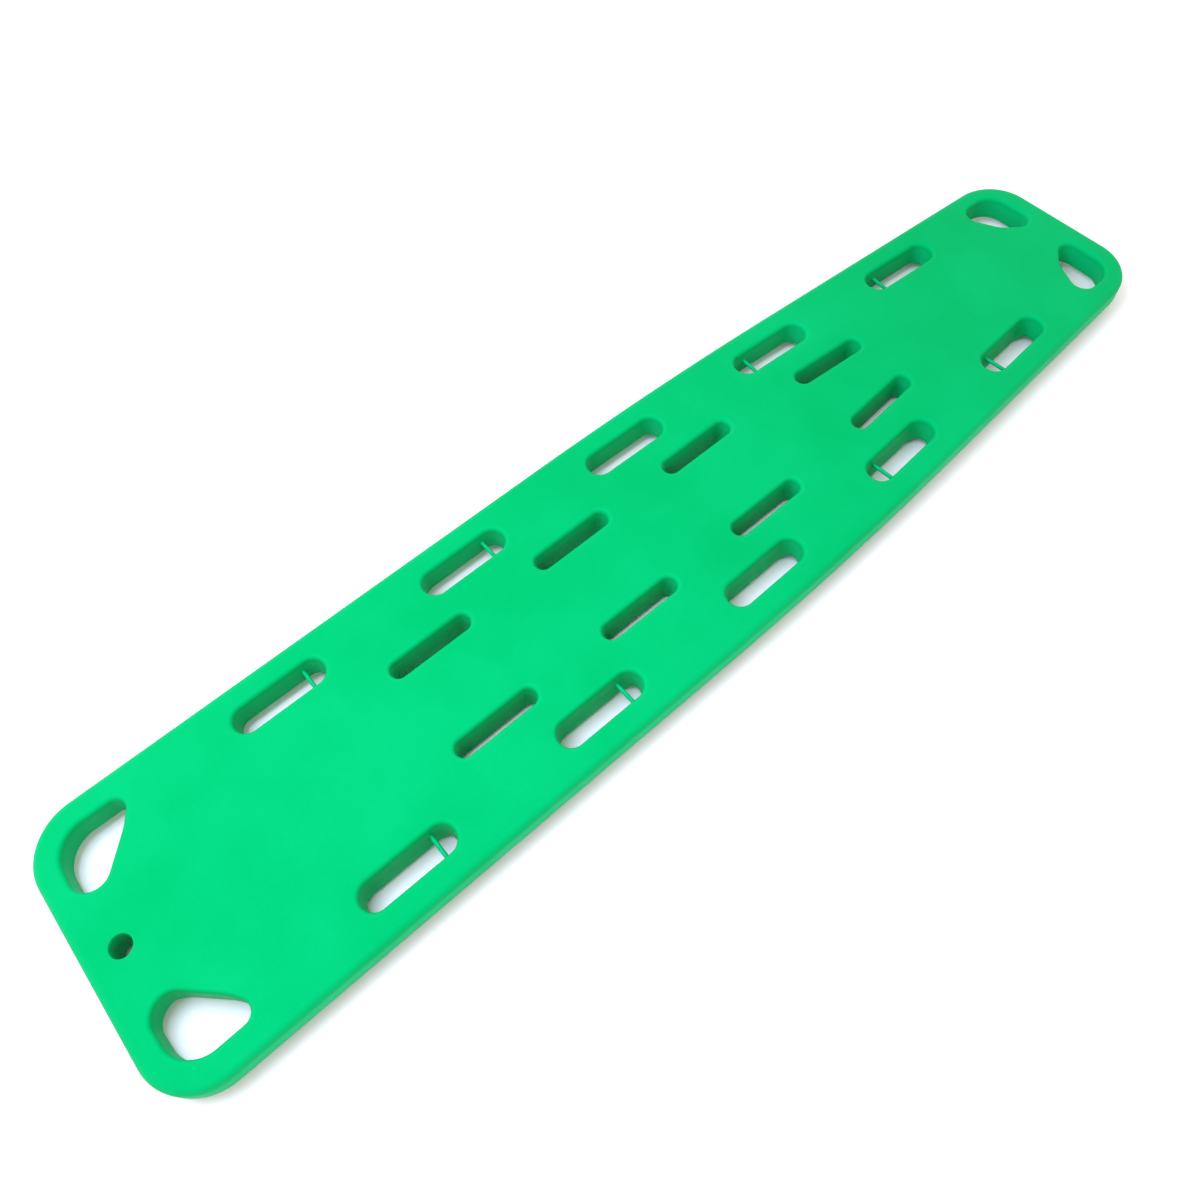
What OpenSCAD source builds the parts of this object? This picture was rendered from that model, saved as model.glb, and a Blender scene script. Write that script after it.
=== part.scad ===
// Rescue spine board: a hollow moulded skin round a foam core, with strap pins
// across its hand holes. +Y runs from the head end to the foot end, +X is the
// board's own left-to-right, and the origin is on the floor under its middle.

/* [Board] */
// Length from the head end to the foot end
board_l = 1828.8; // [1800:0.1:1860]
// Width of the head half
head_w = 406.4; // [400:0.1:415]
// Width of the foot end, where the tapered sides would meet it
foot_w = 304.8; // [300:0.1:310]
// Height from the floor to the upper face
board_t = 57.15; // [50:0.05:60]
// Height of the raised side and end rails above the floor
rail_lift = 14; // [12:0.5:20]
// Radius of the four corners in plan
corner_r = 76; // [70:1:80]
// Distance from the middle to where the sides start to taper
taper_y = 150; // [130:1:170]
// Radius that blends the straight sides into the tapered ones
blend_r = 7000; // [6000:100:7500]

/* [Edges] */
// Radius of the upper outer edge
top_edge_r = 12; // [8:0.5:13]
// Radius of the lower outer edge of the rails
low_edge_r = 9; // [6:0.5:10]
// Radius of the rim round each opening
rim_r = 8; // [5:0.5:9]

/* [Openings] */
// Length of a hand hole between its walls
hand_l = 136; // [130:1:140]
// Width of a hand hole between its walls
hand_w = 38.6; // [34:0.2:41]
// Distance from the side of the board to the middle of a hand hole
hand_inset = 56; // [55:0.5:58]
// Length of a strap slot between its walls
slot_l = 128; // [120:1:130]
// Width of a strap slot between its walls
slot_w = 24.8; // [20:0.2:26]
// Draft of the walls of the hand holes and slots, in degrees
draft = 4; // [1:0.5:5]
// Radius of the round hole at the head end
hook_hole_r = 14; // [12:0.5:15]
// Distance from the head end to the round hole
hook_hole_y = 48; // [46:0.5:52]

/* [Strap pins] */
// Radius of a strap pin
pin_r = 3; // [2.5:0.1:4]
// Distance of a pin from the middle of its hand hole, head half
pin_offset_head = 43; // [38:1:44]
// Distance of a pin from the middle of its hand hole, foot half
pin_offset_foot = 37; // [34:1:42]
// Depth that each end of a pin is set into the side of its hand hole
pin_set = 11; // [8:0.5:12]

/* [Inside] */
// Thickness of the skin
skin_t = 3; // [3:0.5:4.5]
// Thickness of the skin at the outer edge
edge_t = 7; // [7:0.5:9]
// Thickness of the skin that lines the openings
lining_t = 5; // [4.5:0.5:6]
// Radius of a stiffener tube
tube_r = 10; // [8:0.5:11]
// Wall of a stiffener tube
tube_wall = 2; // [1.5:0.1:3]
// Distance from the centreline to a stiffener tube
tube_x = 107; // [105:0.5:108]

/* [Hidden] */

// Middles of the hand holes along the board, head to foot
HAND_Y = [-561, -257, 45, 342, 628];
// Strap slots: distance from the centreline, place along the board, turn towards the centreline
SLOTS = [[72.5, -369, 0], [72.5, -121, 0], [72, 123, 0], [54.5, 390, 4.4]];
// The rounded corners of a corner grip, each as [x, y, radius] at the face of the board, counterclockwise
HEAD_GRIP = [[123, -836.5, 48], [152, -800, 18.5], [162.5, -842, 59], [105.5, -856, 29]];
FOOT_GRIP = [[90, 840.5, 40], [54, 860.5, 21], [96, 870, 60], [106, 825, 24]];
// Rows whose hand holes have a strap pin, counted from the head
PIN_ROWS = [1, 2, 4, 5];
// Where the sides of the deep middle turn in towards its toes, and how far each toe is from the centreline
BELLY_ENDS = [[-789, 45], [810, 17]];
// Ends of the two runners
RUNNER_Y = [-760, 770];
// Ends of the two stiffener tubes
TUBE_Y = [-770, 250];
// Places of the two foam filling holes on the centreline
FILL_Y = [-650, 690];

half_l = board_l / 2;
half_w = head_w / 2;
parting_z = (rail_lift + board_t) / 2;
taper_a = atan((head_w - foot_w) / 2 / (half_l - taper_y));
blend_y = taper_y - blend_r * tan(taper_a / 2);
blend_end_y = blend_y + blend_r * sin(taper_a);
head_corner = [half_w - corner_r, corner_r - half_l];
foot_corner_y = half_l - corner_r;
foot_corner = [(foot_w / 2 * cos(taper_a) + corner_r * sin(taper_a) - corner_r) / cos(taper_a),
    foot_corner_y];
rim_set = 4;                  // how far the wall of an opening is inside the edge that its rim shows
grip_chamfer = rim_r * 0.6;   // the round rim of a corner grip is cut as this chamfer
runner_h = 3;                 // the two runners stand this far below the belly
runner_in = 84;               // distance from the side of the board to a runner
runner_w = 24;
belly_in = 68;                // distance from the side of the board to the deep middle
belly_edge = 5;               // bevel round the lower edge of the deep middle
belly_wall = skin_t + 2;
toe_in = 26;                  // distance from the ends of the board to the toes of the deep middle
channel_w = 12;               // shallow groove across the underside at the third hand holes
channel_d = 3;
floor_z = runner_h + channel_d + skin_t;
tube_z = 27;
tube_l = TUBE_Y[1] - TUBE_Y[0];
plug_l = 15;                  // how far a tube plug goes into its tube
flange_t = 3;
fill_r = 11;
fill_flange_r = 15;
corner_steps = 9;
edge_angles = [30, 55, 80];   // slices that make up a round edge
past = 10;                    // how far a cutter runs past a face
eps = 0.01;

skin = [0.0, 0.84, 0.52];
foam = [0.95, 0.93, 0.84];
glass = [0.80, 0.82, 0.72];
plug = [0.10, 0.45, 0.30];

// Points along an arc
function arc(c, r, a0, a1, n) =
    [for (i = [0:n]) c + r * [cos(a0 + (a1 - a0) * i / n), sin(a0 + (a1 - a0) * i / n)]];
function mirrored(points) =
    [for (i = [len(points) - 1:-1:0]) [-points[i].x, points[i].y]];

// Half width of the board at y, and the way its side leans there
function side_x(y) =
    y < blend_y ? half_w
    : y < blend_end_y ? half_w - blend_r + sqrt(blend_r * blend_r - (y - blend_y) * (y - blend_y))
    : foot_w / 2 + (half_l - y) * tan(taper_a);
function side_a(y) =
    y < blend_y ? 0 : y < blend_end_y ? asin((y - blend_y) / blend_r) : taper_a;

// Outline of the board, moved in by d
function right_side(d) = concat(
    arc(head_corner, corner_r - d, -90, 0, corner_steps),
    arc([half_w - blend_r, blend_y], blend_r - d, 0, taper_a, 4),
    arc(foot_corner, corner_r - d, taper_a, 90, corner_steps));
function outline(d) = concat(right_side(d), mirrored(right_side(d)));

// Outline of a grip, moved in by d: arcs joined by the straight lines that touch both
function touch_a(p, q) =
    atan2(q.y - p.y, q.x - p.x) - acos((p[2] - q[2]) / norm([q.x - p.x, q.y - p.y]));
function forward(a0, a1) = a1 < a0 ? a1 + 360 : a1 - a0 >= 360 ? a1 - 360 : a1;
function grip_outline(g, d) = [for (i = [0:len(g) - 1])
    let (before = g[(i + len(g) - 1) % len(g)], here = g[i], after = g[(i + 1) % len(g)])
    let (a0 = touch_a(before, here))
    each arc([here.x, here.y], here[2] - d, a0, forward(a0, touch_a(here, after)), 5)];

// Places where a line that follows the side needs a point, from y0 to y1
function side_stops(y0, y1) =
    concat(y0, [for (i = [0:3]) blend_y + (blend_end_y - blend_y) * i / 3], y1);
function beside(inset, y0, y1) = [for (y = side_stops(y0, y1)) [side_x(y) - inset, y]];

// Deep middle of the board, moved in by d, with its toes cut along the corner grips
function belly_side(d) = concat(
    [[BELLY_ENDS[0][1] - d / 2, toe_in - half_l + d]],
    beside(belly_in + d, BELLY_ENDS[0][0] + d, BELLY_ENDS[1][0]),
    [[BELLY_ENDS[1][1] - d / 2, half_l - toe_in - d]]);
function belly(d) = concat(belly_side(d), mirrored(belly_side(d)));

// Round-ended cutter along Y: its section, narrower towards the underside, is swept straight
// and then turned round each end
function cut_section(w, flare) = concat(
    [[0, -past], [w - tan(draft) * (board_t - rim_r + past), -past], [w, board_t - rim_r]],
    [for (a = [75:-22:9]) [w + rim_r * (1 - sin(a)) * flare, board_t - rim_r * (1 - cos(a))]],
    [[w + rim_r * flare, board_t + past], [0, board_t + past]]);
module round_ended(l, w, flare) {
    straight = (l - w) / 2;
    rotate([90, 0, 0])
        linear_extrude(height = 2 * straight, center = true)
            polygon(concat(cut_section(w / 2, flare), mirrored(cut_section(w / 2, flare))));
    for (end = [-1, 1])
        translate([0, end * straight, 0])
            rotate_extrude($fn = 48)
                polygon(cut_section(w / 2, flare));
}

// Every place that holds an opening, with its own turn
module at_hand_holes() {
    for (side = [-1, 1])
        for (y = HAND_Y)
            translate([side * (side_x(y) - hand_inset), y, 0])
                rotate([0, 0, side * side_a(y)])
                    children();
}
module at_slots() {
    for (side = [-1, 1])
        for (s = SLOTS)
            translate([side * s[0], s[1], 0])
                rotate([0, 0, side * s[2]])
                    children();
}
module both_sides() {
    children();
    mirror([1, 0, 0])
        children();
}

// A thin slice of an outline, for hull() to join to the next
module slice(points, z) {
    translate([0, 0, z])
        linear_extrude(height = eps)
            polygon(points);
}

module grip_rim(g) {
    hull() {
        slice(grip_outline(g, rim_set + past / 10), board_t - grip_chamfer - past / 10);
        slice(grip_outline(g, rim_set - grip_chamfer - past / 10), board_t + past / 10);
    }
}

// All the openings: grown by wall they are the posts of skin that line them
module openings(wall, flare) {
    at_hand_holes()
        round_ended(hand_l + 2 * wall, hand_w + 2 * wall, flare);
    at_slots()
        round_ended(slot_l + 2 * wall, slot_w + 2 * wall, flare);
    both_sides()
        for (g = [HEAD_GRIP, FOOT_GRIP])
            translate([0, 0, -past])
                linear_extrude(height = board_t + 2 * past)
                    polygon(grip_outline(g, rim_set - wall));
    translate([0, hook_hole_y - half_l, -past])
        cylinder(r = hook_hole_r + wall, h = board_t + 2 * past, $fn = 64);
}

// The space inside the skin, before the lined openings are taken from it
module inside() {
    difference() {
        union() {
            translate([0, 0, rail_lift + skin_t])
                linear_extrude(height = board_t - rail_lift - 2 * skin_t)
                    polygon(outline(edge_t));
            translate([0, 0, floor_z])
                linear_extrude(height = board_t - skin_t - floor_z)
                    polygon(belly(belly_wall));
        }
        openings(lining_t, 0);
    }
}

// A pin lies at the parting line, across its hand hole
function row_y(row) = HAND_Y[row - 1];
module at_pin(side, row) {
    y = row_y(row);
    offset_y = y < 0 ? pin_offset_head : -pin_offset_foot;
    translate([side * (side_x(y) - hand_inset), y, parting_z])
        rotate([0, 0, side * side_a(y)])
            translate([0, offset_y, 0])
                rotate([0, 90, 0])
                    children();
}
module pin_rod() {
    cylinder(r = pin_r, h = hand_w + 2 * pin_set, center = true, $fn = 40);
}
module pin_seats() {
    for (side = [-1, 1])
        for (row = PIN_ROWS)
            at_pin(side, row)
                pin_rod();
}

module rail_slab() {
    hull() {
        for (a = edge_angles)
            slice(outline(low_edge_r * (1 - cos(a))), rail_lift + low_edge_r * (1 - sin(a)));
        slice(outline(low_edge_r), rail_lift);
        translate([0, 0, rail_lift + low_edge_r])
            linear_extrude(height = parting_z - rail_lift - low_edge_r)
                polygon(outline(0));
    }
}

module belly_block() {
    hull() {
        slice(belly(belly_edge), runner_h);
        translate([0, 0, runner_h + belly_edge])
            linear_extrude(height = parting_z - runner_h - belly_edge)
                polygon(belly(0));
    }
}

module runner() {
    outer = beside(runner_in, RUNNER_Y[0], RUNNER_Y[1]);
    inner = beside(runner_in + runner_w, RUNNER_Y[0], RUNNER_Y[1]);
    linear_extrude(height = runner_h + eps)
        polygon(concat(outer, [for (i = [len(inner) - 1:-1:0]) inner[i]]));
}

module top_shell() {
    color(skin)
        difference() {
            hull() {
                translate([0, 0, parting_z])
                    linear_extrude(height = board_t - top_edge_r - parting_z)
                        polygon(outline(0));
                for (a = edge_angles)
                    slice(outline(top_edge_r * (1 - cos(a))), board_t - top_edge_r * (1 - sin(a)) - eps);
                slice(outline(top_edge_r), board_t - eps);
            }
            inside();
            openings(0, 1);
            both_sides()
                for (g = [HEAD_GRIP, FOOT_GRIP])
                    grip_rim(g);
            pin_seats();
        }
}

module bottom_shell() {
    color(skin)
        difference() {
            union() {
                rail_slab();
                belly_block();
                both_sides()
                    runner();
            }
            inside();
            openings(0, 1);
            pin_seats();
            translate([-half_w, HAND_Y[2] - channel_w / 2, -past])
                cube([head_w, channel_w, runner_h + channel_d + past]);
            for (y = FILL_Y)
                translate([0, y, -past])
                    cylinder(r = fill_r, h = 3 * past, $fn = 48);
        }
}

module foam_core() {
    color(foam)
        difference() {
            inside();
            pin_seats();
            for (side = [-1, 1])
                translate([side * tube_x, TUBE_Y[0] - flange_t, tube_z])
                    rotate([-90, 0, 0])
                        cylinder(r = tube_r, h = tube_l + 2 * flange_t, $fn = 64);
            for (y = FILL_Y)
                translate([0, y, 0])
                    cylinder(r = fill_flange_r, h = floor_z + flange_t, $fn = 48);
        }
}

module strap_pin(side, row) {
    color(skin)
        at_pin(side, row)
            pin_rod();
}

module stiffener(side) {
    color(glass)
        translate([side * tube_x, TUBE_Y[0], tube_z])
            rotate([-90, 0, 0])
                difference() {
                    cylinder(r = tube_r, h = tube_l, $fn = 64);
                    translate([0, 0, -past])
                        cylinder(r = tube_r - tube_wall, h = tube_l + 2 * past, $fn = 64);
                }
}

// end is 0 at the head, 1 at the foot
module tube_plug(side, end) {
    color(plug)
        translate([side * tube_x, TUBE_Y[end], tube_z])
            rotate([end == 0 ? -90 : 90, 0, 0]) {
                cylinder(r = tube_r - tube_wall, h = plug_l, $fn = 64);
                translate([0, 0, -flange_t])
                    cylinder(r = tube_r, h = flange_t, $fn = 64);
            }
}

module fill_plug(end) {
    color(plug)
        translate([0, FILL_Y[end], runner_h]) {
            cylinder(r = fill_r, h = floor_z - runner_h, $fn = 48);
            translate([0, 0, floor_z - runner_h])
                cylinder(r = fill_flange_r, h = flange_t, $fn = 48);
        }
}

top_shell();
bottom_shell();
foam_core();
strap_pin(-1, 1);  // strap_pin_left_1
strap_pin(-1, 2);  // strap_pin_left_2
strap_pin(-1, 4);  // strap_pin_left_4
strap_pin(-1, 5);  // strap_pin_left_5
strap_pin(1, 1);  // strap_pin_right_1
strap_pin(1, 2);  // strap_pin_right_2
strap_pin(1, 4);  // strap_pin_right_4
strap_pin(1, 5);  // strap_pin_right_5
stiffener(-1);  // stiffener_left
stiffener(1);  // stiffener_right
tube_plug(-1, 0);  // tube_plug_left_head
tube_plug(-1, 1);  // tube_plug_left_foot
tube_plug(1, 0);  // tube_plug_right_head
tube_plug(1, 1);  // tube_plug_right_foot
fill_plug(0);  // fill_plug_head
fill_plug(1);  // fill_plug_foot
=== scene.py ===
from math import acos, asin, atan, atan2, ceil, cos, hypot, pi, radians, sin, sqrt, tan

import bmesh
import bpy
import numpy as np
from mathutils import Matrix, Vector
from mathutils.geometry import delaunay_2d_cdt


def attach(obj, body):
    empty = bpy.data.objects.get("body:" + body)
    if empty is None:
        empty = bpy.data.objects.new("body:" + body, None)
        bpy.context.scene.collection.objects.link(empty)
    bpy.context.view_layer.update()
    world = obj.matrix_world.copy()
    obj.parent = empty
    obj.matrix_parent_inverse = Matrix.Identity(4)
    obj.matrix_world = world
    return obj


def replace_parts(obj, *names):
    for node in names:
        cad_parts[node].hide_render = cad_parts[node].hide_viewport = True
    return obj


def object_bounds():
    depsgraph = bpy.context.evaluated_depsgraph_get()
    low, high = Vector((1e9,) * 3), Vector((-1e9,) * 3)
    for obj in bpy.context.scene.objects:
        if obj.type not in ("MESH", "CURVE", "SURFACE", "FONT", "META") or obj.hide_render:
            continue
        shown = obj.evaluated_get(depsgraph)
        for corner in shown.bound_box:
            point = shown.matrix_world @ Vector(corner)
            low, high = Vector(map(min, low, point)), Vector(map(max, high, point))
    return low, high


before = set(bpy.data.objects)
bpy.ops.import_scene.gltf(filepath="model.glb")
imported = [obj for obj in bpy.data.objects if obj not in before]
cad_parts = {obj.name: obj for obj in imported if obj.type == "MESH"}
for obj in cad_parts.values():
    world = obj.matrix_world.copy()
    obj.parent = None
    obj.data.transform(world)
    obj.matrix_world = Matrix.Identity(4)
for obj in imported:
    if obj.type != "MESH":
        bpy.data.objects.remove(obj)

# Rescue spine board. Lengths are in millimetres until a mesh is made.
MM = 0.001
CAD_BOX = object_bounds()
LENGTH = (CAD_BOX[1].y - CAD_BOX[0].y) / MM
HEAD_W = (CAD_BOX[1].x - CAD_BOX[0].x) / MM
THICK = CAD_BOX[1].z / MM
HALF_L = LENGTH / 2
HALF_W = HEAD_W / 2

# Outline: straight from the head, then tapering to the foot
FOOT_W = 304.8
CORNER_R = 76.0
TAPER_Y = 150.0
BLEND_R = 7000.0
TAPER_A = atan((HEAD_W - FOOT_W) / 2 / (HALF_L - TAPER_Y))
BLEND_Y = TAPER_Y - BLEND_R * tan(TAPER_A / 2)
BLEND_END_Y = BLEND_Y + BLEND_R * sin(TAPER_A)

# Heights above the floor
RAIL_Z = 14.0
PARTING_Z = (RAIL_Z + THICK) / 2
BELLY_Z = 3.0
CHANNEL_Z = 6.0
SKIN = 3.0
EDGE_SKIN = 7.0
LINING = 5.0
CEILING_Z = THICK - SKIN
BELLY_FLOOR_Z = CHANNEL_Z + SKIN
BELLY_WALL = SKIN + 2
WALL_RUN = 0.5

# Radii of the rounded edges
TOP_EDGE_R = 12.0
LOW_EDGE_R = 9.0
RIM_R = 8.0
HOOK_RIM_R = 3.5
LOW_RIM_R = 4.0

# Openings
HAND_L, HAND_W, HAND_INSET = 136.0, 38.6, 56.0
SLOT_L, SLOT_W = 128.0, 24.8
HAND_Y = (-561, -257, 45, 342, 628)
SLOTS = ((72.5, -369, 0.0), (72.5, -121, 0.0), (72.0, 123, 0.0), (54.5, 390, 4.4))
HEAD_GRIP = ((123, -836.5, 48), (152, -800, 18.5), (162.5, -842, 59), (105.5, -856, 29))
FOOT_GRIP = ((90, 840.5, 40), (54, 860.5, 21), (96, 870, 60), (106, 825, 24))
GRIP_WALL = 4.0
HOOK_R, HOOK_Y = 14.0, 48.0
DRAFT = tan(radians(4))
PARTING_DRAFT = DRAFT * (THICK - RIM_R - PARTING_Z)
LOW_DRAFT = DRAFT * (THICK - RIM_R - (BELLY_Z + RAIL_Z) / 2 - LOW_RIM_R)

# Underside
BELLY_IN, BELLY_TOE_IN = 68.0, 26.0
BELLY_ENDS = ((-789, 45), (810, 17))
STEP_OUT, STEP_IN = 3.0, -3.5
RUNNER_IN, RUNNER_W, RUNNER_Y = 84.0, 24.0, (-760, 770)
RUNNER_EDGE = 2.0
CHANNEL_W, CHANNEL_EDGE = 12.0, 2.0
STEP_RINGS = 8
EDGE_SHARES = (-1.0, -0.5, 0.0, 0.5, 1.0)
FILL_Y, FILL_R, FILL_GAP = (-650, 690), 11.0, 0.6
PLUG_FLANGE_R, PLUG_FLANGE_T = 15.0, 3.0
# Face of a fill plug from its middle outwards, as (radius, height above the deep middle)
PLUG_FACE = ((0, 1.6), (3.6, 1.6), (4.4, 1.3), (5.0, 0.5), (6.0, 0.1), (8.2, 0), (9.8, 0.3),
             (10.6, 0.9), (FILL_R, 1.8))

# Pins across the hand holes of rows 1, 2, 4 and 5
PIN_ROWS = (1, 2, 4, 5)
PIN_R, PIN_SET = 3.0, 11.0
PIN_FLARE, PIN_FLARE_L, PIN_BEVEL = 1.0, 2.0, 1.0
FLARE_ANGLES = range(0, 91, 15)
PIN_HEAD, PIN_FOOT = 43.0, 37.0

# Meshing
ARC_STEP = radians(5)
LINE_STEP, LINE_SLACK = 8.0, 0.01
BLEND_STEPS = 3
RING_ANGLES = (0, 12, 25, 38, 52, 66, 80, 90)
GRID = 24.0
GRID_CLEAR = 6.0
# Unevenness of the upper face: the size of each wave, and its scale across and along the board
WAVE = 0.12
WAVE_SCALES = ((47, 181), (-109, 83), (31, 211))
MERGE = 0.002
ON_WALL = 0.02
# Openings are looked for as far as REACH, and outlines are measured CHUNK points at a time
REACH = 15.0
CHUNK = 400
SHARP = radians(35)


# ---- outlines ----

def arc(centre, r, start, end):
    n = max(2, ceil(abs(end - start) / ARC_STEP), ceil(abs(end - start) * r / LINE_STEP / 2))
    turns = [start + (end - start) * i / n for i in range(n + 1)]
    return [(centre[0] + r * cos(a), centre[1] + r * sin(a)) for a in turns]


def closed(points):
    """The same closed outline with its long straights split evenly."""
    out = []
    for a, b in zip(points, points[1:] + points[:1]):
        n = max(1, ceil(hypot(b[0] - a[0], b[1] - a[1]) / LINE_STEP - LINE_SLACK))
        out += [(a[0] + (b[0] - a[0]) * i / n, a[1] + (b[1] - a[1]) * i / n) for i in range(n)]
    return np.array(out)


def mirrored(points):
    return [(-x, y) for x, y in reversed(points)]


def side_x(y):
    """Half width of the board at y."""
    if y < BLEND_Y:
        return HALF_W
    if y < BLEND_END_Y:
        return HALF_W - BLEND_R + sqrt(BLEND_R ** 2 - (y - BLEND_Y) ** 2)
    return FOOT_W / 2 + (HALF_L - y) * tan(TAPER_A)


def side_turn(y):
    """How far the side leans towards the centreline at y."""
    if y < BLEND_Y:
        return 0.0
    return asin((y - BLEND_Y) / BLEND_R) if y < BLEND_END_Y else TAPER_A


def board(inset):
    """Outline of the board, moved in by inset."""
    foot_x = (FOOT_W / 2 * cos(TAPER_A) + CORNER_R * sin(TAPER_A) - CORNER_R) / cos(TAPER_A)
    right = arc((HALF_W - CORNER_R, CORNER_R - HALF_L), CORNER_R - inset, -pi / 2, 0)
    right += arc((HALF_W - BLEND_R, BLEND_Y), BLEND_R - inset, 0, TAPER_A)
    right += arc((foot_x, HALF_L - CORNER_R), CORNER_R - inset, TAPER_A, pi / 2)
    return closed(right + mirrored(right))


def round_ended(centre, length, width, turn):
    """A hole with straight sides and round ends, as a function of how far it is grown."""
    def contour(grow):
        r = width / 2 + grow
        reach = (length - width) / 2
        points = arc((0, reach), r, 0, pi) + arc((0, -reach), r, pi, 2 * pi)
        c, s = cos(turn), sin(turn)
        return closed([(centre[0] + c * x - s * y, centre[1] + s * x + c * y) for x, y in points])
    return contour


def touching(p, q):
    """Direction, from p's middle, of the point where a straight line round p and q leaves p."""
    return atan2(q[1] - p[1], q[0] - p[0]) - acos((p[2] - q[2]) / hypot(q[0] - p[0], q[1] - p[1]))


def corner_grip(side, rounds):
    """A corner opening: four rounds joined by the straight lines that touch both."""
    def contour(grow):
        points = []
        for i, here in enumerate(rounds):
            start = touching(rounds[i - 1], here)
            end = start + (touching(here, rounds[(i + 1) % len(rounds)]) - start) % (2 * pi)
            points += arc(here[:2], here[2] - GRIP_WALL + grow, start, end)
        return closed(points if side > 0 else mirrored(points))
    return contour


def round_hole(centre, r):
    def contour(grow):
        return closed(arc(centre, r + grow, 0, 2 * pi)[:-1])
    return contour


def hand_hole_place(side, y):
    return (side * (side_x(y) - HAND_INSET), y), side * side_turn(y)


def all_openings():
    """Every opening, as its contour, the radius of its upper rim, and whether its walls have draft."""
    found = [(round_hole((0, HOOK_Y - HALF_L), HOOK_R), HOOK_RIM_R, False)]
    for side in (-1, 1):
        for y in HAND_Y:
            centre, turn = hand_hole_place(side, y)
            found.append((round_ended(centre, HAND_L, HAND_W, turn), RIM_R, True))
        for x, y, turn in SLOTS:
            slot = round_ended((side * x, y), SLOT_L, SLOT_W, side * radians(turn))
            found.append((slot, RIM_R, True))
        for rounds in (HEAD_GRIP, FOOT_GRIP):
            found.append((corner_grip(side, rounds), RIM_R, False))
    return found


def walls(draft=0.0, grow=0.0):
    """The wall of every opening, where the walls with draft have come in by that much."""
    return [contour(grow - draft if drafted else grow) for contour, _, drafted in OPENINGS]


def beside(inset, y0, y1):
    """Points that follow the right-hand side of the board."""
    steps = [BLEND_Y + (BLEND_END_Y - BLEND_Y) * i / BLEND_STEPS for i in range(BLEND_STEPS + 1)]
    return [(side_x(y) - inset, y) for y in [y0] + steps + [y1]]


def belly(grow):
    """The deep middle of the board."""
    (head_y, head_x), (foot_y, foot_x) = BELLY_ENDS
    right = [(head_x + grow / 2, BELLY_TOE_IN - HALF_L - grow)]
    right += beside(BELLY_IN - grow, head_y - grow, foot_y)
    right += [(foot_x + grow / 2, HALF_L - BELLY_TOE_IN + grow)]
    return closed(right + mirrored(right))


def runner(side, grow):
    """One of the two strips that the board stands on."""
    outer = beside(RUNNER_IN - grow, RUNNER_Y[0] - grow, RUNNER_Y[1] + grow)
    inner = beside(RUNNER_IN + RUNNER_W + grow, RUNNER_Y[0] - grow, RUNNER_Y[1] + grow)
    points = outer + inner[::-1]
    return closed(points if side > 0 else mirrored(points))


def channel(grow):
    """The groove across the underside at the third pair of hand holes."""
    x = HALF_W - BELLY_IN + STEP_OUT
    y0, y1 = HAND_Y[2] - CHANNEL_W / 2 - grow, HAND_Y[2] + CHANNEL_W / 2 + grow
    return closed([(-x, y0), (x, y0), (x, y1), (-x, y1)])


# ---- heights ----

def distance(points, contour):
    """Distance of each point from a closed outline, negative inside it."""
    parts = np.array_split(points, len(points) // CHUNK + 1)
    return np.concatenate([chunk_distance(part, contour) for part in parts])


def chunk_distance(points, contour):
    (x0, y0), (x1, y1) = contour.T, np.roll(contour, -1, axis=0).T
    ex, ey = x1 - x0, y1 - y0
    ax, ay = points[:, 0:1] - x0, points[:, 1:2] - y0
    along = np.clip((ax * ex + ay * ey) / (ex * ex + ey * ey), 0, 1)
    gap = np.sqrt(((ax - along * ex) ** 2 + (ay - along * ey) ** 2).min(axis=1))
    spans = (ay < 0) != (ay < ey)
    crosses = spans & (ax < ay * ex / np.where(ey == 0, 1, ey))
    return np.where(crosses.sum(axis=1) % 2 == 1, -gap, gap)


def gaps(points, contours):
    """For each contour that some points are near, which points those are and how far they are."""
    for index, contour in enumerate(contours):
        near = ((points > contour.min(0) - REACH) & (points < contour.max(0) + REACH)).all(axis=1)
        if near.any():
            yield index, near, distance(points[near], contour)


def wall_gap(points, contours):
    """Distance of each point from the nearest contour, as far as REACH."""
    nearest = np.full(len(points), REACH)
    for _, near, gap in gaps(points, contours):
        nearest[near] = np.minimum(nearest[near], gap)
    return nearest


def rim_fall(points, contours, radii):
    """How far the rims of the openings have dropped at each point."""
    fall = np.zeros(len(points))
    for index, near, gap in gaps(points, contours):
        fall[near] = np.maximum(fall[near], rounded(gap, radii[index]))
    return fall


def rounded(gap, r):
    """How far a face has dropped at a distance from the end of its rounded edge."""
    reach = np.clip(r - gap, 0, r)
    return r - np.sqrt(r * r - reach * reach)


def smooth(value):
    value = np.clip(value, 0, 1)
    return value * value * (3 - 2 * value)


def waves(points):
    """Slow unevenness of a moulded face, never above it."""
    x, y = points.T
    slow = sum(np.sin(x / across + y / along) for across, along in WAVE_SCALES)
    return WAVE * (slow + len(WAVE_SCALES))


def top_height(points):
    fall = rounded(-distance(points, board(0)), TOP_EDGE_R)
    fall += rim_fall(points, walls(), [rim for _, rim, _ in OPENINGS])
    flat = smooth(1 - fall)
    return THICK - fall - flat * waves(points)


def bottom_height(points):
    step = smooth((STEP_OUT - distance(points, belly(0))) / (STEP_OUT - STEP_IN))
    low = RAIL_Z + (BELLY_Z - RAIL_Z) * step
    for side in (-1, 1):
        on_runner = smooth(0.5 - distance(points, runner(side, 0)) / RUNNER_EDGE / 2)
        low = low - BELLY_Z * on_runner
    in_channel = smooth(0.5 - distance(points, channel(0)) / CHANNEL_EDGE)
    low = np.maximum(low, CHANNEL_Z * in_channel)
    rise = rounded(-distance(points, board(0)), LOW_EDGE_R)
    rise += rim_fall(points, walls(LOW_DRAFT), [LOW_RIM_R] * len(OPENINGS))
    return low + rise


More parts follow.
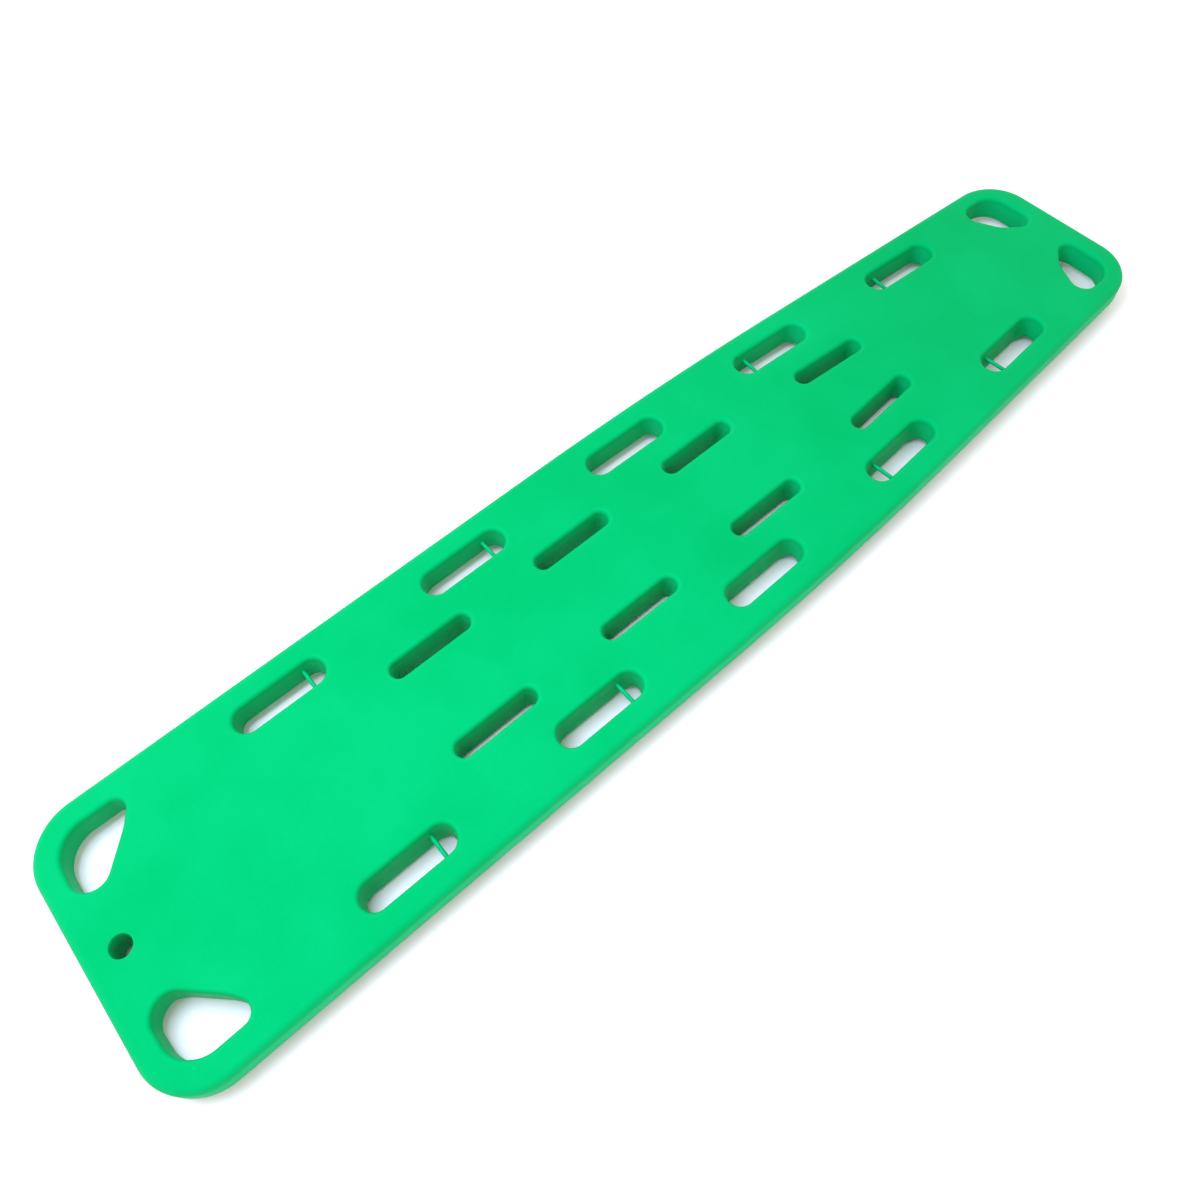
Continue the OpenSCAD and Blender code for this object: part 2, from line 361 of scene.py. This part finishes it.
def ceiling_height(points):
    return np.full(len(points), CEILING_Z)


def floor_height(points):
    deep = distance(points, belly(-BELLY_WALL)) < WALL_RUN / 2
    return np.where(deep, BELLY_FLOOR_Z, RAIL_Z + SKIN)


# ---- sheets and shells ----

def rings(contour, r, start=0.0):
    """Copies of an outline across its rounded edge, closer together where it is steeper."""
    return [contour(start + r * (1 - cos(radians(a)))) for a in RING_ANGLES]


def grid_points(lines):
    """Loose points over the board, clear of the lines that are already there."""
    xs = np.arange(-HALF_W + GRID / 2, HALF_W, GRID)
    ys = np.arange(-HALF_L + GRID / 2, HALF_L, GRID)
    points = np.array([(x, y) for y in ys for x in xs])
    taken = np.concatenate(lines)
    gap = np.array([np.hypot(*(taken - p).T).min() for p in points])
    return points[gap > GRID_CLEAR]


def triangulate(lines, loose, keep):
    """Triangles between closed lines and loose points, where keep is true of their middles."""
    points, edges = [], []
    for line in lines:
        first, count = len(points), len(line)
        points += [Vector(p) for p in line]
        edges += [(first + i, first + (i + 1) % count) for i in range(count)]
    points += [Vector(p) for p in loose]
    return cut_triangles(points, edges, keep)


def cut_triangles(points, edges, keep):
    found = delaunay_2d_cdt(points, edges, [], 0, MERGE / 10, False)
    flat = np.array([tuple(p) for p in found[0]])
    faces = np.array(found[2])
    return flat, faces[keep(flat[faces].mean(axis=1))]


def open_edges(faces):
    """Edges that only one face uses, in that face's own direction."""
    edges = np.concatenate([faces[:, [0, 1]], faces[:, [1, 2]], faces[:, [2, 0]]])
    _, first, uses = np.unique(np.sort(edges, axis=1), axis=0, return_index=True, return_counts=True)
    return edges[first[uses == 1]]


def in_skin(points, draft=0.0):
    return (distance(points, board(0)) < -MERGE) & (wall_gap(points, walls(draft)) > MERGE)


def in_cavity(points):
    inside = distance(points, board(EDGE_SKIN)) < -MERGE
    return inside & (wall_gap(points, walls(grow=LINING)) > MERGE)


def fill_holes():
    return [round_hole((0, y), FILL_R)(FILL_GAP) for y in FILL_Y]


def off_fill_holes(points):
    return wall_gap(points, fill_holes()) > MERGE


def add_faces(bm, points, faces):
    verts = [bm.verts.new(Vector(p) * MM) for p in points]
    for face in faces:
        bm.faces.new([verts[i] for i in face])


def lean(flat, edges, contours, shift):
    """The points with those on the contours moved by shift, away from the skin if it is positive."""
    away = np.zeros_like(flat)
    for a, b in edges:
        run = flat[b] - flat[a]
        away[[a, b]] += (run[1], -run[0]) / np.hypot(*run)
    away /= np.maximum(np.linalg.norm(away, axis=1), MERGE)[:, None]
    moved = flat.copy()
    for _, near, gap in gaps(flat, contours):
        on_wall = np.flatnonzero(near)[np.abs(gap) < ON_WALL]
        moved[on_wall] += shift * away[on_wall]
    return moved


def add_sheet(bm, flat, faces, height, leaning, shift, fill_z=None):
    """A sheet at its heights, with walls from its open edges to the parting line, or to fill_z
    round the fill holes of a sheet that has them. The leaning walls shift sideways on the way.
    Returns the edges that reach the parting line, as pairs of points."""
    z = height(flat)
    add_faces(bm, np.column_stack([flat, z]), faces)
    edges = open_edges(faces)
    end = lean(flat, edges, leaning, shift)
    fills = np.zeros(len(flat), bool)
    stop = np.full(len(flat), PARTING_Z)
    if fill_z is not None:
        fills = wall_gap(flat, fill_holes()) < ON_WALL
        stop[fills] = fill_z
    parted = []
    for a, b in edges:
        if abs(stop[a] - z[a]) > MERGE:
            wall = [(*flat[a], z[a]), (*flat[b], z[b]), (*end[b], stop[b]), (*end[a], stop[a])]
            add_faces(bm, wall, [range(4)])
        if not fills[a]:
            parted.append((end[a], end[b]))
    return parted


def shell(name, outer, inner):
    """A closed skin: an outer sheet, an inner sheet, their walls and the rim at the parting line."""
    bm = bmesh.new()
    parted = add_sheet(bm, *outer) + add_sheet(bm, *inner)
    points = [Vector(p) for pair in parted for p in pair]
    edges = [(i, i + 1) for i in range(0, len(points), 2)]
    flat, faces = cut_triangles(points, edges, lambda p: in_skin(p, PARTING_DRAFT) & ~in_cavity(p))
    add_faces(bm, np.column_stack([flat, np.full(len(flat), PARTING_Z)]), faces)
    bmesh.ops.remove_doubles(bm, verts=bm.verts, dist=MERGE * MM)
    bmesh.ops.dissolve_degenerate(bm, edges=bm.edges, dist=MERGE * MM)
    bmesh.ops.recalc_face_normals(bm, faces=bm.faces)
    return finish_mesh(name, bm)


def finish_mesh(name, bm):
    mesh = bpy.data.meshes.new(name)
    bm.to_mesh(mesh)
    bm.free()
    mesh.shade_smooth()
    mesh.set_sharp_from_angle(angle=SHARP)
    piece = bpy.data.objects.new(name, mesh)
    bpy.context.scene.collection.objects.link(piece)
    return piece


def make_top_shell():
    lines = rings(board, TOP_EDGE_R)
    for contour, rim, _ in OPENINGS:
        lines += rings(contour, rim)
    outer = triangulate(lines, grid_points(lines), in_skin)
    inner = triangulate([board(EDGE_SKIN)] + walls(grow=LINING), [], in_cavity)
    leaning = [contour(0) for contour, _, drafted in OPENINGS if drafted]
    return shell("upper_skin", (*outer, top_height, leaning, PARTING_DRAFT),
                 (*inner, ceiling_height, [], 0))


def make_bottom_shell():
    lines = rings(board, LOW_EDGE_R)
    for contour, _, drafted in OPENINGS:
        lines += rings(contour, LOW_RIM_R, -LOW_DRAFT if drafted else 0)
    lines += [belly(grow) for grow in np.linspace(STEP_IN, STEP_OUT, STEP_RINGS)]
    for share in EDGE_SHARES:
        lines.append(channel(CHANNEL_EDGE / 2 * share))
        lines += [runner(side, RUNNER_EDGE * share) for side in (-1, 1)]
    outer = triangulate(lines + fill_holes(), grid_points(lines),
                        lambda p: in_skin(p, LOW_DRAFT) & off_fill_holes(p))
    lining = [board(EDGE_SKIN), belly(-BELLY_WALL), belly(-BELLY_WALL + WALL_RUN)]
    inner = triangulate(lining + walls(grow=LINING) + fill_holes(), [],
                        lambda p: in_cavity(p) & off_fill_holes(p))
    leaning = [contour(-LOW_DRAFT) for contour, _, drafted in OPENINGS if drafted]
    return shell("lower_skin",
                 (*outer, bottom_height, leaning, PARTING_DRAFT - LOW_DRAFT, BELLY_FLOOR_Z),
                 (*inner, floor_height, [], 0, BELLY_FLOOR_Z))


# ---- turned pieces ----

def lathe(name, profile, place, steps=40):
    """A solid turned about its own Z from a profile of (radius, height), then put in place."""
    bm = bmesh.new()
    loops = []
    for r, z in profile:
        if r == 0:
            loops.append([bm.verts.new((0, 0, z * MM))])
            continue
        turns = [2 * pi * i / steps for i in range(steps)]
        loops.append([bm.verts.new((r * cos(a) * MM, r * sin(a) * MM, z * MM)) for a in turns])
    for low, high in zip(loops, loops[1:]):
        for i in range(steps):
            j = (i + 1) % steps
            corners = [low[i % len(low)], low[j % len(low)], high[j % len(high)], high[i % len(high)]]
            bm.faces.new(list(dict.fromkeys(corners)))
    bmesh.ops.recalc_face_normals(bm, faces=bm.faces)
    bmesh.ops.transform(bm, matrix=place, verts=bm.verts)
    return finish_mesh(name, bm)


def pin_profile():
    """A rod that flares where it grows out of the sides of its hand hole."""
    wall, end = HAND_W / 2, HAND_W / 2 + PIN_SET
    flare = []
    for a in map(radians, FLARE_ANGLES):
        along = wall - PIN_FLARE_L * (1 - sin(a))
        flare.append((PIN_R + PIN_FLARE * (1 - cos(a)), along))
    half = flare + [(PIN_R + PIN_FLARE, end - PIN_BEVEL), (PIN_R, end), (0, end)]
    return [(r, -z) for r, z in reversed(half)] + half


def make_pin(side, row):
    y = HAND_Y[row - 1]
    (x, _), turn = hand_hole_place(side, y)
    shift = PIN_HEAD if y < 0 else -PIN_FOOT
    place = (Matrix.Translation(Vector((x, y, PARTING_Z)) * MM) @ Matrix.Rotation(turn, 4, "Z")
             @ Matrix.Translation((0, shift * MM, 0)) @ Matrix.Rotation(pi / 2, 4, "Y"))
    which = f"{'left' if side < 0 else 'right'}_{row}"
    piece = lathe(f"clip_pin_{which}", pin_profile(), place)
    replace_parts(piece, f"strap_pin_{which}")
    return piece


def make_fill_plug(end, y):
    """A spun-in plug: domed rim, a shallow dish to drive it by, a flange inside the skin."""
    top = BELLY_FLOOR_Z + PLUG_FLANGE_T
    profile = [(r, BELLY_Z + z) for r, z in PLUG_FACE]
    profile += [(FILL_R, BELLY_FLOOR_Z), (PLUG_FLANGE_R, BELLY_FLOOR_Z), (PLUG_FLANGE_R, top), (0, top)]
    piece = lathe(f"foam_fill_plug_{end}", profile, Matrix.Translation((0, y * MM, 0)))
    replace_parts(piece, f"fill_plug_{end}")
    return piece


# ---- materials ----

# Colour variation: broad clouds, fine specks and a painted highlight (paler colour) on convex edges, each
# with its greatest share
CLOUD_SCALE, CLOUD_RANGE, CLOUD_SHARE = 7.0, (0.35, 0.65), 0.30
SPECK_SCALE, SPECK_RANGE, SPECK_SHARE = 0.4, (0.3, 0.7), 0.12
# Pointiness range and share of the paler colour on convex edges: a painted highlight standing in for the
# sheen on the rims
EDGE_SHEEN_RANGE, EDGE_SHEEN_SHARE = (0.505, 0.56), 0.7
# Long scuffs along the board, and the unevenness of the gloss
SCUFF_SCALE, SCUFF_RANGE, SCUFF_DULL = (260.0, 9.0, 260.0), (0.66, 0.76), 0.07
GLOSS_SCALE, GLOSS_RANGE, GLOSS_SPREAD = 31.0, (0.3, 0.7), 0.05
PEEL_DEPTH, SCORE_DEPTH = 0.0004, 0.0001
GREEN_TINT, WHITE_TINT = (0.0, 1.0, 0.7, 1.0), (1.0, 1.0, 1.0, 1.0)


def node(tree, kind, inputs=None, **settings):
    made = tree.nodes.new(kind)
    for key, value in settings.items():
        setattr(made, key, value)
    for key, value in (inputs or {}).items():
        if isinstance(value, bpy.types.NodeSocket):
            tree.links.new(value, made.inputs[key])
        else:
            made.inputs[key].default_value = value
    return made


def noise(tree, where, scale, detail=3.0):
    return node(tree, "ShaderNodeTexNoise", {"Vector": where, "Scale": scale, "Detail": detail}).outputs[0]


def spread(tree, value, low, high, out_low, out_high):
    """Maps a value from one range onto another, and stops at its ends."""
    return node(tree, "ShaderNodeMapRange", {"Value": value, "From Min": low, "From Max": high,
                                             "To Min": out_low, "To Max": out_high}).outputs[0]


def mix(tree, share, first, second):
    """Mixes two colours. The colour inputs of this node are numbers 6 and 7."""
    inputs = {0: share, 6: first, 7: second}
    return node(tree, "ShaderNodeMix", inputs, data_type="RGBA").outputs[2]


def plastic(name, colour, pale, roughness, grain=900.0, bump=0.12, tint=GREEN_TINT, shine=0.5):
    """Moulded plastic: cloudy colour, a painted highlight of paler colour along convex edges, fine orange
    peel and a few long scuffs.
    """
    material = bpy.data.materials.new(name)
    material.use_nodes = True
    tree = material.node_tree
    shader = tree.nodes["Principled BSDF"]
    where = node(tree, "ShaderNodeTexCoord").outputs["Object"]
    cloud = spread(tree, noise(tree, where, CLOUD_SCALE), *CLOUD_RANGE, 0.0, CLOUD_SHARE)
    speck = spread(tree, noise(tree, where, grain * SPECK_SCALE), *SPECK_RANGE, 0.0, SPECK_SHARE)
    along = node(tree, "ShaderNodeMapping", {"Vector": where, "Scale": SCUFF_SCALE}).outputs[0]
    scuff = spread(tree, noise(tree, along, 1.0, detail=4.0), *SCUFF_RANGE, 0.0, 1.0)
    # Paler colour on convex edges, found by pointiness: a painted highlight standing in for the sheen on
    # the rims
    sharpness = node(tree, "ShaderNodeNewGeometry").outputs["Pointiness"]
    painted_edge_sheen = spread(tree, sharpness, *EDGE_SHEEN_RANGE, 0.0, EDGE_SHEEN_SHARE)
    share = node(tree, "ShaderNodeMath", {0: cloud, 1: speck}, operation="ADD").outputs[0]
    share = node(tree, "ShaderNodeMath", {0: share, 1: painted_edge_sheen}, operation="ADD", use_clamp=True).outputs[0]
    tree.links.new(mix(tree, share, (*colour, 1.0), (*pale, 1.0)), shader.inputs["Base Color"])
    dull = node(tree, "ShaderNodeMath", {0: scuff, 1: SCUFF_DULL}, operation="MULTIPLY").outputs[0]
    rough = spread(tree, noise(tree, where, GLOSS_SCALE), *GLOSS_RANGE,
                   roughness - GLOSS_SPREAD, roughness + GLOSS_SPREAD)
    rough = node(tree, "ShaderNodeMath", {0: rough, 1: dull}, operation="ADD").outputs[0]
    tree.links.new(rough, shader.inputs["Roughness"])
    shader.inputs["Specular Tint"].default_value = tint
    shader.inputs["Specular IOR Level"].default_value = shine
    peel = node(tree, "ShaderNodeBump", {"Height": noise(tree, where, grain), "Strength": bump,
                                         "Distance": PEEL_DEPTH}).outputs[0]
    score = node(tree, "ShaderNodeBump", {"Height": scuff, "Strength": bump, "Distance": SCORE_DEPTH,
                                          "Normal": peel}).outputs[0]
    tree.links.new(score, shader.inputs["Normal"])
    return material


def paint(piece, material):
    if piece.material_slots:
        for place in piece.material_slots:
            place.material = material
    else:
        piece.data.materials.append(material)


# ---- light, floor and camera ----

CAMERA_AT = Vector((0.56465, -0.56177, 1.32101))
CAMERA_AIM = Vector((-0.06445, -0.08436, 0.05715))
CAMERA_ROLL = radians(-4.09)
LENS, SENSOR = 31.365, 36.0
SHIFT = (0.0043, -0.0601)
CLIP = 0.01

WORLD_COLOUR = (1.0, 0.985, 0.93, 1.0)
WORLD_POWER = 1.2
KEY_AT = Vector((-0.4, -0.9, 1.9))
KEY_AIM = Vector((0.0, -0.3, 0.0))
KEY_SIZE = 1.3
KEY_POWER = 42.0
KEY_COLOUR = (0.82, 0.96, 1.28)
FLOOR_HALF = 6.0
FLOOR_COLOUR = (0.93, 0.865, 0.91, 1.0)
FLOOR_ROUGHNESS, FLOOR_SHINE = 0.9, 0.1


def facing(at, aim):
    """Where a camera or light is when it stands at one point and faces another."""
    return Matrix.Translation(at) @ (aim - at).to_track_quat("-Z", "Y").to_matrix().to_4x4()


def make_camera():
    data = bpy.data.cameras.new("camera")
    data.sensor_width = SENSOR
    data.lens = LENS
    data.shift_x, data.shift_y = SHIFT
    data.clip_start = CLIP
    camera = bpy.data.objects.new("camera", data)
    camera.matrix_world = facing(CAMERA_AT, CAMERA_AIM) @ Matrix.Rotation(CAMERA_ROLL, 4, "Z")
    bpy.context.scene.collection.objects.link(camera)
    bpy.context.scene.camera = camera


def make_light():
    data = bpy.data.lights.new("key", "AREA")
    data.shape = "DISK"
    data.size = KEY_SIZE
    data.energy = KEY_POWER
    data.color = KEY_COLOUR
    light = bpy.data.objects.new("key", data)
    light.matrix_world = facing(KEY_AT, KEY_AIM)
    bpy.context.scene.collection.objects.link(light)


def make_surroundings():
    scene = bpy.context.scene
    scene.view_settings.view_transform = "Standard"
    world = bpy.data.worlds.new("studio")
    world.use_nodes = True
    world.node_tree.nodes["Background"].inputs[0].default_value = WORLD_COLOUR
    world.node_tree.nodes["Background"].inputs[1].default_value = WORLD_POWER
    scene.world = world
    make_light()
    bm = bmesh.new()
    bmesh.ops.create_grid(bm, x_segments=4, y_segments=4, size=FLOOR_HALF)
    floor = finish_mesh("floor", bm)
    material = bpy.data.materials.new("pale_floor")
    material.use_nodes = True
    shader = material.node_tree.nodes["Principled BSDF"]
    shader.inputs["Base Color"].default_value = FLOOR_COLOUR
    shader.inputs["Roughness"].default_value = FLOOR_ROUGHNESS
    shader.inputs["Specular IOR Level"].default_value = FLOOR_SHINE
    paint(floor, material)


# ---- the board ----

OPENINGS = all_openings()


def make_board():
    skin = plastic("green_polyethylene", (0.0, 0.32, 0.085), (0.002, 0.41, 0.14), 0.5,
                   shine=0.05)
    pin_skin = plastic("green_pin_plastic", (0.0, 0.33, 0.10), (0.004, 0.42, 0.16), 0.38, grain=1500.0)
    plug_skin = plastic("dark_green_plug", (0.001, 0.14, 0.05), (0.005, 0.20, 0.08), 0.35, grain=1500.0)
    foam = plastic("rigid_foam", (0.80, 0.74, 0.55), (0.90, 0.86, 0.70), 0.95, grain=450.0,
                   bump=0.6, tint=WHITE_TINT)
    glass = plastic("pultruded_glass_fibre", (0.56, 0.58, 0.45), (0.68, 0.70, 0.58), 0.45,
                    grain=700.0, tint=WHITE_TINT)
    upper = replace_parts(make_top_shell(), "top_shell")
    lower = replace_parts(make_bottom_shell(), "bottom_shell")
    made = [(upper, skin, "skin"), (lower, skin, "skin")]
    made += [(make_pin(side, row), pin_skin, "pin") for side in (-1, 1) for row in PIN_ROWS]
    made += [(make_fill_plug(end, y), plug_skin, "plug") for end, y in zip(("head", "foot"), FILL_Y)]
    for piece, material, slot in made:
        paint(piece, material)
        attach(piece, "root")
    carried = {"foam_core": foam, "stiffener_left": glass, "stiffener_right": glass}
    for side in ("left", "right"):
        for end in ("head", "foot"):
            carried[f"tube_plug_{side}_{end}"] = plug_skin
    for name, material in carried.items():
        paint(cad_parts[name], material)


make_camera()
make_surroundings()
make_board()
